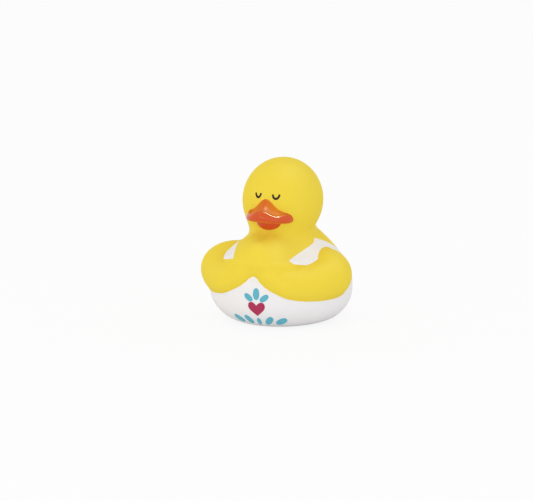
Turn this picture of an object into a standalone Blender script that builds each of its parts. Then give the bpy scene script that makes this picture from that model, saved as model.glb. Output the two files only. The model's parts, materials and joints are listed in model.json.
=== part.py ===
"""Rubber duck in a tank top, holding its wings together: a hollow vinyl moulding with a squeaker.

The duck faces -Y, its left wing is on +X and it stands on z = 0. Sizes are in metres.
Real pieces: duck_body (one rotomoulded vinyl shell, spray painted and pad printed)
and squeaker (a turned plug pressed into the hole in its base).
"""

import math

import bmesh
import bpy
import numpy as np

MM = 0.001

# Vinyl skin
WALL = 2.2 * MM
RINGS = 52
SEGMENTS = 70
CAVITY_RINGS = 28
CAVITY_SEGMENTS = 40

# The forms below are laid out about the neck; this is the y that the finished duck is centred on
MIDDLE_Y = 2.6 * MM

# Head and neck: an upright egg on a short column
HEAD_CENTRE = np.array([0.0, 2.1, 58.7]) * MM
HEAD_HALF = np.array([19.6, 21.8, 21.0]) * MM
NECK_BOTTOM = np.array([0.0, -1.0, 38.0]) * MM
NECK_TOP = np.array([0.0, 0.0, 52.0]) * MM
NECK_RADIUS = 15.0 * MM
NECK_BLEND = 3.6 * MM

# Body: a low rounded tub with a domed back and an upturned tail
TUB_CENTRE = np.array([0.0, -0.3, 16.9]) * MM
TUB_HALF = np.array([35.7, 34.3, 20.2]) * MM
TUB_SQUARENESS = 2.5
BACK_CENTRE = np.array([0.0, 5.3, 17.6]) * MM
BACK_HALF = np.array([26.3, 33.6, 30.7]) * MM
BACK_BLEND = 8.0 * MM
TAIL_ROOT = np.array([0.0, 22.0, 25.0]) * MM
TAIL_TIP = np.array([0.0, 36.5, 37.0]) * MM
TAIL_ROOT_RADIUS = 13.0 * MM
TAIL_TIP_RADIUS = 4.0 * MM
BASE_EDGE = 3.0 * MM
TAIL_BLEND = 8.0 * MM

# Wings: from the shoulder round the elbow to the joined hands, as x, y, z and radius
WING_PATH = (
    np.array(
        [
            (20.5, 3.1, 28.2, 8.0),
            (26.4, -2.8, 26.0, 10.4),
            (28.8, -8.2, 23.8, 10.4),
            (22.7, -17.9, 21.6, 9.3),
            (14.9, -25.5, 22.4, 7.7),
        ]
    )
    * MM
)
HAND_PATH = np.array([(14.9, -25.5, 22.4, 7.7), (6.5, -27.9, 28.2, 7.1), (4.0, -21.5, 36.4, 5.2)]) * MM
WEB_PATH = np.array([(0.0, -31.0, 29.2, 2.4), (0.0, -27.0, 37.0, 5.0)]) * MM
LIMB_STEPS = 4
WEB_BLEND = 2.5 * MM
HAND_LOW_BLEND = 1.3 * MM
HAND_TOP_BLEND = 12.0 * MM
HAND_LOW = 27.0 * MM
HAND_TOP = 34.0 * MM
CREASE_BLEND = 1.3 * MM

# Tank top: the paint ends at a neckline that is highest over the shoulders and scooped at the back
NECKLINE_Y = np.array([-26.0, -1.7, 0.6, 4.2, 10.7, 14.0, 20.0]) * MM
NECKLINE_Z = np.array([34.4, 39.4, 40.9, 39.8, 37.0, 34.8, 32.0]) * MM

# Face: the bill and the eyes sit this far towards the left wing
FACE_SIDE = 0.55 * MM

# Upper bill: sections fan out about its middle, from a ridge over a hollow to a rolled lip
BILL_MIDDLE_Y = -14.5 * MM
BILL_HALF_WIDTH = 11.25 * MM
BILL_REACH = 12.8 * MM
BILL_POINTEDNESS = 0.1
BILL_TURN = math.radians(104.0)
BILL_FLANK_HEIGHT = 55.2 * MM
BILL_FLANK_ARCH = 1.9 * MM
BILL_RIDGE_RISE = 5.1 * MM
BILL_RIDGE_HALF = 5.2 * MM
BILL_RIDGE_POWER = 2.6
BILL_ROOT_DEPTH = 1.6 * MM
BILL_ROOT_LIMIT = 0.86
BILL_HOLLOW = 1.1 * MM
BILL_TIP_HOLLOW = 0.35
BILL_STATIONS = 30
BILL_SECTION_POINTS = 20
BILL_SECTION_STEPS = 8
LIP_SIDE_HEIGHT = 54.15 * MM
LIP_SWELL = 3.35 * MM
LIP_SWELL_HALF = 5.9 * MM
LIP_SWELL_POWER = 2.4
LIP_CORNER_SWELL = 0.9 * MM
LIP_CORNER_POWER = 12.0
LIP_BOTTOM = 52.0 * MM
LIP_BOTTOM_DROP = 1.1 * MM
# Top of each section: share of the way from root to lip, share of the fall, share of the hollow
BILL_TOP_SECTION = ((0.4, 0.55, 0.8), (0.78, 0.86, 1.0))
# Rest of it: share of the bill's reach, and height as a share of the lip's thickness
LIP_SECTION = (
    (0.915, 0.96),
    (0.968, 1.0),
    (1.028, 0.76),
    (1.052, 0.44),
    (1.02, 0.12),
    (0.95, 0.0),
    (0.76, 0.03),
    (0.4, 0.06),
    (0.12, 0.11),
)

# Lower bill: a small bowl under the lip
LOWER_BILL_CENTRE = np.array([0.8, -15.6, 51.2]) * MM
LOWER_BILL_HALF = np.array([6.6, 6.4, 4.8]) * MM

# Closed eyes: a line that hangs in a U on each side of the bill's root
EYE_SPACING = 4.6 * MM
EYE_TOP = 65.0 * MM
EYE_HALF_WIDTH = 1.6 * MM
EYE_DEPTH = 2.15 * MM
EYE_CURVE = 0.85
EYE_LINE_RADIUS = 0.44 * MM
EYE_POINTS = 9

# Print on the belly: a heart under a sprig, over a fan of leaves, a few degrees to the left
PRINT_PROUD = 0.2 * MM
PRINT_TURN = 3.3
PRISM_START = 20.0 * MM
PRISM_END = 48.0 * MM
HEART_CENTRE_Z = 10.9 * MM
HEART_HALF_WIDTH = 4.5 * MM
HEART_HEIGHT = 7.2 * MM
HEART_LIFT = 0.09
HEART_POINTS = 28
LEAF_SLENDERNESS = 0.28
LEAF_FULLNESS = 0.8
LEAF_POINTS = 6
# Each leaf: height of its stalk end (mm), degrees round the belly, degrees of lean, length (mm)
SPRIG_LEAVES = ((15.7, 0.0, 0.0, 5.7), (15.1, 3.4, 52.0, 5.0), (15.1, -3.4, -52.0, 5.0))
FAN_LEAVES = (
    (2.3, 0.0, 0.0, 3.8),
    (2.7, 6.6, 38.0, 5.4),
    (2.7, -6.6, -38.0, 5.4),
    (3.2, 16.0, 62.0, 5.8),
    (3.2, -16.0, -62.0, 5.8),
)

# Squeaker and its seat in the base
SEAT_RADIUS = 6.3 * MM
SEAT_DEPTH = 0.95 * MM
HOLE_RADIUS = 4.3 * MM
FLANGE_RADIUS = 6.0 * MM
FLANGE_BOTTOM = 0.25 * MM
FLANGE_TOP = 0.65 * MM
PLUG_RADIUS = 4.0 * MM
BARB_RADIUS = 5.2 * MM
BARB_GAP = 0.35 * MM
PLUG_TOP = 6.0 * MM
PLUG_TOP_RADIUS = 4.3 * MM
CHAMBER_RADIUS = 3.2 * MM
CHAMBER_FLOOR = 1.6 * MM
AIR_HOLE_RADIUS = 1.2 * MM
CUT_BELOW = 3.0 * MM
HOLE_TOP = 5.0 * MM
TURNED_STEPS = 32

# Rays that shape the skin: the origin climbs the axis while the rays fan from the base to the crown
RAY_STEPS = np.array([0.0, 0.07, 0.54, 0.56, 0.58, 0.595, 0.61, 0.70, 1.0])
RAY_ORIGINS = np.array([16.0, 16.0, 16.0, 26.7, 34.9, 40.5, 45.2, 58.8, 58.8]) * MM
RAY_ANGLES = np.radians([-90.0, -40.0, 53.0, 40.0, 25.0, 12.0, 0.0, 0.0, 90.0])
RAY_REACH = 70.0 * MM
RAY_HALVINGS = 26
SNAP = 0.18


def clear_scene():
    for obj in list(bpy.data.objects):
        bpy.data.objects.remove(obj)


def material(name, colour, roughness):
    made = bpy.data.materials.new(name)
    made.use_nodes = True
    shader = made.node_tree.nodes["Principled BSDF"]
    shader.inputs["Base Color"].default_value = (*colour, 1.0)
    shader.inputs["Roughness"].default_value = roughness
    made.diffuse_color = (*colour, 1.0)
    return made


def ellipsoid(p, centre, half):
    """Signed distance, nearly, to an ellipsoid."""
    scaled = (p - centre) / half
    reach = np.linalg.norm(scaled, axis=-1)
    slope = np.linalg.norm(scaled / half, axis=-1)
    return reach * (reach - 1.0) / np.maximum(slope, 1e-9)


def squared_tub(p, centre, half, power):
    """Signed distance, nearly, to an ellipsoid whose upright section is squarer than an ellipse."""
    scaled = np.abs((p - centre) / half)
    level = np.hypot(scaled[..., 0], scaled[..., 1])
    reach = (level**power + scaled[..., 2] ** power) ** (1.0 / power)
    return np.linalg.norm(p - centre, axis=-1) * (1.0 - 1.0 / np.maximum(reach, 1e-6))


def tapered_capsule(p, start, end, start_radius, end_radius):
    """Signed distance, nearly, to a bar with round ends of two radii."""
    along = end - start
    t = np.clip(((p - start) @ along) / (along @ along), 0.0, 1.0)
    centre = start + t[..., None] * along
    return np.linalg.norm(p - centre, axis=-1) - (start_radius + (end_radius - start_radius) * t)


def blend(a, b, width):
    """The union of two fields with a fillet of about this width."""
    overlap = np.maximum(width - np.abs(a - b), 0.0) / width
    return np.minimum(a, b) - overlap * overlap * width / 4.0


def trunk_field(p):
    """Head, neck, body and tail, without the wings."""
    head = ellipsoid(p, HEAD_CENTRE, HEAD_HALF)
    neck = tapered_capsule(p, NECK_BOTTOM, NECK_TOP, NECK_RADIUS, NECK_RADIUS)
    tub = squared_tub(p, TUB_CENTRE, TUB_HALF, TUB_SQUARENESS)
    back = ellipsoid(p, BACK_CENTRE, BACK_HALF)
    tail = tapered_capsule(p, TAIL_ROOT, TAIL_TIP, TAIL_ROOT_RADIUS, TAIL_TIP_RADIUS)
    body = blend(blend(tub, back, BACK_BLEND), tail, TAIL_BLEND)
    return blend(blend(head, neck, NECK_BLEND), body, NECK_BLEND)


def smooth_path(corners):
    """More places on a smooth curve through the corners of a limb's path."""
    ends = np.vstack([2.0 * corners[0] - corners[1], corners, 2.0 * corners[-1] - corners[-2]])
    t = np.arange(LIMB_STEPS)[:, None] / LIMB_STEPS
    places = []
    for before, start, end, after in zip(ends, ends[1:], ends[2:], ends[3:]):
        lead = (end - before) / 2.0
        trail = (after - start) / 2.0
        rise = 3.0 * t**2 - 2.0 * t**3
        places.append(
            start + rise * (end - start) + (t**3 - 2.0 * t**2 + t) * lead + (t**3 - t**2) * trail
        )
    return np.vstack([*places, corners[-1:]])


def limb_field(p, path):
    """A smooth run of tapered bars, mirrored to both sides."""
    side = np.stack([np.abs(p[..., 0]), p[..., 1], p[..., 2]], axis=-1)
    places = smooth_path(path)
    limb = np.full(side.shape[:-1], 1.0)
    for start, end in zip(places, places[1:]):
        limb = np.minimum(limb, tapered_capsule(side, start[:3], end[:3], start[3], end[3]))
    return limb


def hand_blend(p):
    """Fillet between hands and breast: tight along the lower crease, wide at the fingertips."""
    rise = np.clip((p[..., 2] - HAND_LOW) / (HAND_TOP - HAND_LOW), 0.0, 1.0)
    return HAND_LOW_BLEND + (HAND_TOP_BLEND - HAND_LOW_BLEND) * rise * rise * (3.0 - 2.0 * rise)


def hand_field(p):
    """Both hands, with the shallow web between them."""
    return blend(limb_field(p, HAND_PATH), limb_field(p, WEB_PATH), WEB_BLEND)


def skin_field(p):
    """The whole moulding: the hands run softly into the breast, and the base is cut flat."""
    breast = blend(trunk_field(p), hand_field(p), hand_blend(p))
    whole = blend(breast, limb_field(p, WING_PATH), CREASE_BLEND)
    return -blend(-whole, p[..., 2], BASE_EDGE)


def top_field(p):
    """Above zero where the tank top is painted."""
    neckline = np.interp(p[..., 1], NECKLINE_Y, NECKLINE_Z)
    wings = np.minimum(limb_field(p, WING_PATH), hand_field(p))
    return np.minimum(wings - trunk_field(p), neckline - p[..., 2])


def points_of(mesh):
    flat = np.empty(len(mesh.vertices) * 3)
    mesh.vertices.foreach_get("co", flat)
    return flat.reshape(-1, 3)


def set_points(mesh, points):
    mesh.vertices.foreach_set("co", np.ravel(points))
    mesh.update()


def new_sphere(name, segments, rings):
    bpy.ops.mesh.primitive_uv_sphere_add(segments=segments, ring_count=rings, radius=1.0)
    obj = bpy.context.object
    obj.name = name
    obj.data.name = name
    return obj


def mould(obj, field):
    """Draws a unit sphere out along rays from the duck's axis until it lies on the field's surface."""
    unit = points_of(obj.data)
    step = np.arcsin(np.clip(unit[:, 2], -1.0, 1.0)) / math.pi + 0.5
    turn = np.arctan2(unit[:, 0], -unit[:, 1])
    angle = np.interp(step, RAY_STEPS, RAY_ANGLES)
    origin = np.zeros_like(unit)
    origin[:, 2] = np.interp(step, RAY_STEPS, RAY_ORIGINS)
    ray = np.stack(
        [np.cos(angle) * np.sin(turn), -np.cos(angle) * np.cos(turn), np.sin(angle)], axis=-1
    )
    near = np.zeros(len(unit))
    far = np.full(len(unit), RAY_REACH)
    for _ in range(RAY_HALVINGS):
        middle = (near + far) / 2.0
        inside = field(origin + middle[:, None] * ray) < 0.0
        near = np.where(inside, middle, near)
        far = np.where(inside, far, middle)
    set_points(obj.data, origin + near[:, None] * ray)


def cut_along(bm, level):
    """Cuts the faces where the level changes sign, and returns each vertex's level."""
    for vert in list(bm.verts):
        if level[vert] == 0.0:
            continue
        for edge in vert.link_edges:
            other = edge.other_vert(vert)
            if level[vert] * level[other] < 0.0:
                share = level[vert] / (level[vert] - level[other])
                if share < SNAP:
                    vert.co = vert.co.lerp(other.co, share)
                    level[vert] = 0.0
                    break
    for edge in list(bm.edges):
        start, end = edge.verts
        if level[start] * level[end] < 0.0:
            share = level[start] / (level[start] - level[end])
            _, made = bmesh.utils.edge_split(edge, start, share)
            level[made] = 0.0
    for face in list(bm.faces):
        marked = [vert for vert in face.verts if level[vert] == 0.0]
        if len(marked) == 2 and not bm.edges.get(marked):
            bmesh.utils.face_split(face, marked[0], marked[1])
    return level


def paint(obj, field, body_slot, top_slot):
    """Gives the faces inside the field the top's paint, with the mesh cut along the paint's edge."""
    bm = bmesh.new()
    bm.from_mesh(obj.data)
    values = field(points_of(obj.data))
    level = {vert: float(value) for vert, value in zip(bm.verts, values)}
    level = cut_along(bm, level)
    for face in bm.faces:
        inside = sum(level[vert] for vert in face.verts) > 0.0
        face.material_index = top_slot if inside else body_slot
        face.smooth = True
    bm.to_mesh(obj.data)
    bm.free()


def head_front(x, z):
    """Y of the head's front surface at this place."""
    across = ((x - HEAD_CENTRE[0]) / HEAD_HALF[0]) ** 2 + ((z - HEAD_CENTRE[2]) / HEAD_HALF[2]) ** 2
    return HEAD_CENTRE[1] - HEAD_HALF[1] * np.sqrt(np.clip(1.0 - across, 0.0, 1.0))


def bill_plan(turn, share):
    """X and y at a share of the bill's reach, at a turn about the bill's middle."""
    across = np.sin(turn) * np.abs(np.sin(turn)) ** BILL_POINTEDNESS
    ahead = np.cos(turn) * np.abs(np.cos(turn)) ** BILL_POINTEDNESS
    return BILL_HALF_WIDTH * share * across, BILL_MIDDLE_Y - BILL_REACH * share * ahead


def bill_root_height(x):
    """Height where the bill leaves the head: a low arch with a ridge on its middle."""
    arch = BILL_FLANK_ARCH * (1.0 - (x / BILL_HALF_WIDTH) ** 2)
    ridge = BILL_RIDGE_RISE * np.exp(-((np.abs(x) / BILL_RIDGE_HALF) ** BILL_RIDGE_POWER))
    return BILL_FLANK_HEIGHT + arch + ridge


def bill_root_share(turn):
    """Share of the bill's reach where it comes out of the head, found by halving."""
    near, far = 0.0, 1.0
    for _ in range(RAY_HALVINGS):
        middle = (near + far) / 2.0
        x, y = bill_plan(turn, middle)
        if y > head_front(x + FACE_SIDE, bill_root_height(x)):
            near = middle
        else:
            far = middle
    return min(near, BILL_ROOT_LIMIT)


def bill_section(turn):
    """Corner points of the upper bill's section at a turn, from inside the head over the lip."""
    root = bill_root_share(turn)
    root_z = bill_root_height(bill_plan(turn, root)[0])
    lip_x = bill_plan(turn, 1.0)[0]
    swell = math.exp(-((abs(lip_x) / LIP_SWELL_HALF) ** LIP_SWELL_POWER))
    corner = math.sin(min(abs(turn), math.pi / 2.0)) ** LIP_CORNER_POWER
    crest = LIP_SIDE_HEIGHT + LIP_SWELL * swell + LIP_CORNER_SWELL * corner
    low = LIP_BOTTOM - LIP_BOTTOM_DROP * (lip_x / BILL_HALF_WIDTH) ** 2
    lip, lip_height = LIP_SECTION[0]
    lip_z = low + lip_height * (crest - low)
    side = abs(math.sin(turn))
    hollow = BILL_HOLLOW * (BILL_TIP_HOLLOW + (1.0 - BILL_TIP_HOLLOW) * side) * (1.0 - corner)
    rows = [(LIP_SECTION[-1][0], root_z - BILL_ROOT_DEPTH), (root / 2.0, root_z), (root, root_z)]
    for way, fall, dip in BILL_TOP_SECTION:
        rows.append((root + way * (lip - root), root_z + fall * (lip_z - root_z) - dip * hollow))
    rows += [(share, low + height * (crest - low)) for share, height in LIP_SECTION]
    places = [(*bill_plan(turn, share), z) for share, z in rows]
    return np.array(places) + np.array([FACE_SIDE, 0.0, 0.0])


def smooth_loop(corners, count):
    """Points at even steps along a closed curve that runs smoothly through the corners."""
    before = np.roll(corners, 1, axis=0)
    after = np.roll(corners, -1, axis=0)
    beyond = np.roll(corners, -2, axis=0)
    t = (np.arange(BILL_SECTION_STEPS) / BILL_SECTION_STEPS)[None, :, None]
    start, end = corners[:, None, :], after[:, None, :]
    lead = 0.5 * (after - before)[:, None, :]
    tail = 0.5 * (beyond - corners)[:, None, :]
    dense = (
        (2 * t**3 - 3 * t**2 + 1) * start
        + (t**3 - 2 * t**2 + t) * lead
        + (3 * t**2 - 2 * t**3) * end
        + (t**3 - t**2) * tail
    ).reshape(-1, corners.shape[1])
    closed = np.vstack([dense, dense[:1]])
    length = np.concatenate([[0.0], np.cumsum(np.linalg.norm(np.diff(closed, axis=0), axis=1))])
    places = np.linspace(0.0, length[-1], count, endpoint=False)
    return np.stack([np.interp(places, length, axis) for axis in closed.T], axis=-1)


def upper_bill(orange):
    """A loft of unlike sections that turn about the bill's middle from corner to corner."""
    bm = bmesh.new()
    loops = []
    for turn in np.linspace(-BILL_TURN, BILL_TURN, BILL_STATIONS):
        section = smooth_loop(bill_section(turn), BILL_SECTION_POINTS)
        loops.append([bm.verts.new(place) for place in section])
    for one, two in zip(loops, loops[1:]):
        for i in range(BILL_SECTION_POINTS):
            j = (i + 1) % BILL_SECTION_POINTS
            bm.faces.new((one[i], one[j], two[j], two[i]))
    bm.faces.new(loops[0])
    bm.faces.new(loops[-1])
    bmesh.ops.recalc_face_normals(bm, faces=bm.faces)
    return helper("upper_bill_form", bm, orange)


def lower_bill(orange):
    bm = bmesh.new()
    bmesh.ops.create_uvsphere(bm, u_segments=20, v_segments=12, radius=1.0)
    for vert in bm.verts:
        vert.co = LOWER_BILL_CENTRE + LOWER_BILL_HALF * np.array(vert.co)
    return helper("lower_bill_form", bm, orange)


def helper(name, bm, finish):
    """A form that a Boolean joins or cuts, kept out of the render."""
    mesh = bpy.data.meshes.new(name)
    for face in bm.faces:
        face.smooth = True
    bm.to_mesh(mesh)
    bm.free()
    mesh.materials.append(finish)
    obj = bpy.data.objects.new(name, mesh)
    helpers().objects.link(obj)
    hide(obj)
    return obj


def helpers():
    found = bpy.data.collections.get("forms")
    if found is None:
        found = bpy.data.collections.new("forms")
        bpy.context.scene.collection.children.link(found)
    return found


def hide(obj):
    obj.hide_render = True
    obj.display_type = "WIRE"


def eye_lines(ink):
    """Round lines along the lowered eyelids, sunk to half their thickness in the face."""
    angles = np.linspace(0.0, math.pi, EYE_POINTS)
    z = EYE_TOP - EYE_DEPTH * np.sin(angles) ** EYE_CURVE
    curve = bpy.data.curves.new("eye_lines_path", "CURVE")
    curve.dimensions = "3D"
    curve.bevel_depth = EYE_LINE_RADIUS
    curve.bevel_resolution = 1
    curve.use_fill_caps = True
    for side in (-1, 1):
        x = FACE_SIDE + side * EYE_SPACING + EYE_HALF_WIDTH * np.cos(angles)
        spline = curve.splines.new("POLY")
        spline.points.add(EYE_POINTS - 1)
        for point, place in zip(spline.points, zip(x, head_front(x, z), z)):
            point.co = (*place, 1.0)
    path = bpy.data.objects.new("eye_lines_path", curve)
    bm = bmesh.new()
    bm.from_mesh(path.to_mesh())
    bmesh.ops.remove_doubles(bm, verts=bm.verts, dist=0.00001)
    bmesh.ops.recalc_face_normals(bm, faces=bm.faces)
    bpy.data.objects.remove(path)
    return helper("eye_lines", bm, ink)


def heart_outline():
    t = np.linspace(0.0, 2.0 * math.pi, HEART_POINTS, endpoint=False)
    x = np.sin(t) ** 3
    z = (13 * np.cos(t) - 5 * np.cos(2 * t) - 2 * np.cos(3 * t) - np.cos(4 * t)) / 29.0
    return np.stack([HEART_HALF_WIDTH * x, HEART_HEIGHT * (z + HEART_LIFT)], axis=-1)


def leaf_outline(lean, length):
    """A pointed oval that stands on its stalk end and leans by this many degrees."""
    t = np.linspace(0.0, 1.0, LEAF_POINTS)
    half = LEAF_SLENDERNESS * length * np.sin(math.pi * t) ** LEAF_FULLNESS
    right = np.stack([half, length * t], axis=-1)
    left = np.stack([-half, length * t], axis=-1)[-2:0:-1]
    angle = math.radians(lean)
    turn = np.array([[math.cos(angle), math.sin(angle)], [-math.sin(angle), math.cos(angle)]])
    return np.vstack([right, left]) @ turn.T


def print_pads(name, marks, ink):
    """Patches of ink: prisms through the belly trimmed by a skin that stands a little proud."""
    cover = new_sphere(f"{name}_cover", SEGMENTS, RINGS)
    mould(cover, lambda p: skin_field(p) - PRINT_PROUD)
    cover.data.materials.append(ink)
    hide(cover)
    bm = bmesh.new()
    for outline, height, turn in marks:
        across = math.radians(turn + PRINT_TURN)
        ahead = np.array([math.sin(across), -math.cos(across), 0.0])
        right = np.array([math.cos(across), math.sin(across), 0.0])
        rings = []
        for reach in (PRISM_START, PRISM_END):
            places = reach * ahead + outline[:, :1] * right
            places[:, 2] = height + outline[:, 1]
            rings.append([bm.verts.new(place) for place in places])
        for i in range(len(outline)):
            j = (i + 1) % len(outline)
            bm.faces.new((rings[0][i], rings[0][j], rings[1][j], rings[1][i]))
        bm.faces.new(rings[0])
        bm.faces.new(rings[1])
    bmesh.ops.recalc_face_normals(bm, faces=bm.faces)
    pads = helper(name, bm, ink)
    boolean(pads, cover, "INTERSECT")
    return pads


def boolean(obj, other, operation):
    """Adds an exact Boolean that carries the other form's material with it."""
    modifier = obj.modifiers.new(f"{operation.lower()} {other.name}", "BOOLEAN")
    modifier.operation = operation
    modifier.solver = "EXACT"
    modifier.material_mode = "TRANSFER"
    modifier.object = other


def cylinder(name, radius, low, high, finish):
    bm = bmesh.new()
    bmesh.ops.create_cone(
        bm,
        cap_ends=True,
        segments=TURNED_STEPS,
        radius1=radius,
        radius2=radius,
        depth=high - low,
    )
    bmesh.ops.translate(bm, verts=bm.verts, vec=(0.0, 0.0, (low + high) / 2.0))
    return helper(name, bm, finish)


def build_body(finishes):
    """The vinyl shell with its bill, eyes, print, cavity and squeaker seat."""
    yellow, white, orange, black, teal, magenta = finishes
    body = new_sphere("duck_body", SEGMENTS, RINGS)
    mould(body, skin_field)
    body.data.materials.append(yellow)
    body.data.materials.append(white)
    paint(body, top_field, body_slot=0, top_slot=1)

    cavity = new_sphere("cavity", CAVITY_SEGMENTS, CAVITY_RINGS)
    mould(cavity, lambda p: skin_field(p) + WALL)
    cavity.data.materials.append(yellow)
    hide(cavity)

    boolean(body, upper_bill(orange), "UNION")
    boolean(body, lower_bill(orange), "UNION")
    boolean(body, eye_lines(black), "UNION")
    heart = [(heart_outline(), HEART_CENTRE_Z, 0.0)]
    leaves = [
        (leaf_outline(lean, length * MM), height * MM, turn)
        for height, turn, lean, length in SPRIG_LEAVES + FAN_LEAVES
    ]
    boolean(body, print_pads("heart_print", heart, magenta), "UNION")
    boolean(body, print_pads("leaf_print", leaves, teal), "UNION")
    boolean(body, cavity, "DIFFERENCE")
    boolean(body, cylinder("squeaker_seat", SEAT_RADIUS, -CUT_BELOW, SEAT_DEPTH, yellow), "DIFFERENCE")
    boolean(body, cylinder("squeaker_hole", HOLE_RADIUS, -CUT_BELOW, HOLE_TOP, yellow), "DIFFERENCE")
    return body


def build_squeaker(finish):
    """A plug turned about its air hole, with a flange under the base and a barb inside it."""
    barb = WALL + BARB_GAP
    profile = (
        (AIR_HOLE_RADIUS, FLANGE_BOTTOM),
        (FLANGE_RADIUS, FLANGE_BOTTOM),
        (FLANGE_RADIUS, FLANGE_TOP),
        (PLUG_RADIUS, FLANGE_TOP),
        (PLUG_RADIUS, barb),
        (BARB_RADIUS, barb),
        (PLUG_TOP_RADIUS, PLUG_TOP),
        (CHAMBER_RADIUS, PLUG_TOP),
        (CHAMBER_RADIUS, CHAMBER_FLOOR),
        (AIR_HOLE_RADIUS, CHAMBER_FLOOR),
    )
    mesh = bpy.data.meshes.new("squeaker")
    edges = [(i, (i + 1) % len(profile)) for i in range(len(profile))]
    mesh.from_pydata([(r, 0.0, z) for r, z in profile], edges, [])
    mesh.materials.append(finish)
    obj = bpy.data.objects.new("squeaker", mesh)
    bpy.context.scene.collection.objects.link(obj)
    screw = obj.modifiers.new("turned", "SCREW")
    screw.steps = TURNED_STEPS
    screw.render_steps = TURNED_STEPS
    screw.use_merge_vertices = True
    screw.merge_threshold = 0.00001
    screw.use_normal_flip = True
    return obj


def main():
    clear_scene()
    yellow = material("yellow_vinyl", (0.85, 0.64, 0.07), 0.55)
    white = material("white_paint", (0.84, 0.81, 0.80), 0.5)
    orange = material("orange_paint", (0.75, 0.10, 0.025), 0.2)
    black = material("eye_ink", (0.03, 0.02, 0.02), 0.4)
    teal = material("teal_ink", (0.10, 0.42, 0.52), 0.45)
    magenta = material("heart_ink", (0.44, 0.03, 0.10), 0.45)
    clear = material("squeaker_plastic", (0.80, 0.80, 0.76), 0.35)
    build_body((yellow, white, orange, black, teal, magenta))
    build_squeaker(clear)
    for obj in bpy.data.objects:
        obj.location.y = -MIDDLE_Y


main()
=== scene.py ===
"""The finished looks of a rubber duck in a painted tank top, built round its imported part.

The duck faces -Y and stands on z = 0. Its form is a smooth union of simple solids, worked out as a
distance in space, and the skin, the bill, the eyes and the print are surfaces laid on that form.
"""

import json
import logging
import math
from dataclasses import dataclass
from enum import Enum
from typing import Optional

import bpy
import numpy as np
from mathutils import Matrix, Vector

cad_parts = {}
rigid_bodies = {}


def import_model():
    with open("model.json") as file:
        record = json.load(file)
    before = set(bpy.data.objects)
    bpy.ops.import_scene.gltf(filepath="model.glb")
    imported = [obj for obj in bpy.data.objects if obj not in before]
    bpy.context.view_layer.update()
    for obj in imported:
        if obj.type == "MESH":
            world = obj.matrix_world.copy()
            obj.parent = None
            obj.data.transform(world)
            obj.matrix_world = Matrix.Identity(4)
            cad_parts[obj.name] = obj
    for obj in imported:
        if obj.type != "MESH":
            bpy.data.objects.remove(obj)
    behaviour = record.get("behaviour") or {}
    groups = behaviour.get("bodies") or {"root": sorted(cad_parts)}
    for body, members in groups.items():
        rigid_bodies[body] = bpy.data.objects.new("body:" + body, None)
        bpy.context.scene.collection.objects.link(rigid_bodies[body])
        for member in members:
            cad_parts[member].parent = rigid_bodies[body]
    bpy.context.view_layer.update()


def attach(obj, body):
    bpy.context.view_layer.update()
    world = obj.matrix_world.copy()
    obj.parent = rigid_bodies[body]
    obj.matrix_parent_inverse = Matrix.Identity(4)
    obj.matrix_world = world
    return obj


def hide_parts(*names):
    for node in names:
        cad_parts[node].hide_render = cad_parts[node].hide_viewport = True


MM = 0.001
HALVINGS = 24
LOG = logging.getLogger("duck")
Row = tuple[float, ...]


# Meshes


def smooth_through(corners: np.ndarray, steps: int, closed: bool) -> np.ndarray:
    """Carries a curve smoothly through its corner points.

    Each stretch is a cubic whose slope at a corner is half the chord between the neighbours.

    Args:
        corners: the points, along the second axis from the end.
        steps: how many places each stretch gets.
        closed: whether the last corner runs on into the first.

    Returns:
        The places on the curve, in the same layout as the corners.
    """
    if closed:
        before = np.roll(corners, 1, axis=-2)
        start, end = corners, np.roll(corners, -1, axis=-2)
        after = np.roll(corners, -2, axis=-2)
    else:
        first = 2.0 * corners[..., :1, :] - corners[..., 1:2, :]
        last = 2.0 * corners[..., -1:, :] - corners[..., -2:-1, :]
        ends = np.concatenate([first, corners, last], axis=-2)
        before, start = ends[..., :-3, :], ends[..., 1:-2, :]
        end, after = ends[..., 2:-1, :], ends[..., 3:, :]
    t = (np.arange(steps) / steps)[:, None]
    lead = ((end - before) / 2.0)[..., None, :]
    trail = ((after - start) / 2.0)[..., None, :]
    rise = 3.0 * t**2 - 2.0 * t**3
    places = (
        start[..., None, :]
        + rise * (end - start)[..., None, :]
        + (t**3 - 2.0 * t**2 + t) * lead
        + (t**3 - t**2) * trail
    )
    places = places.reshape(*corners.shape[:-2], -1, corners.shape[-1])
    return places if closed else np.concatenate([places, corners[..., -1:, :]], axis=-2)


def grid_faces(rows: int, columns: int) -> np.ndarray:
    """Lists the quads of a grid whose columns close into rings.

    Args:
        rows: rings in the grid.
        columns: points in each ring.

    Returns:
        The corner numbers of each quad.
    """
    place = np.arange(rows * columns).reshape(rows, columns)
    beside = np.roll(place, -1, axis=1)
    quads = [place[:-1], place[1:], beside[1:], beside[:-1]]
    return np.stack(quads, axis=-1).reshape(-1, 4)


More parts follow.
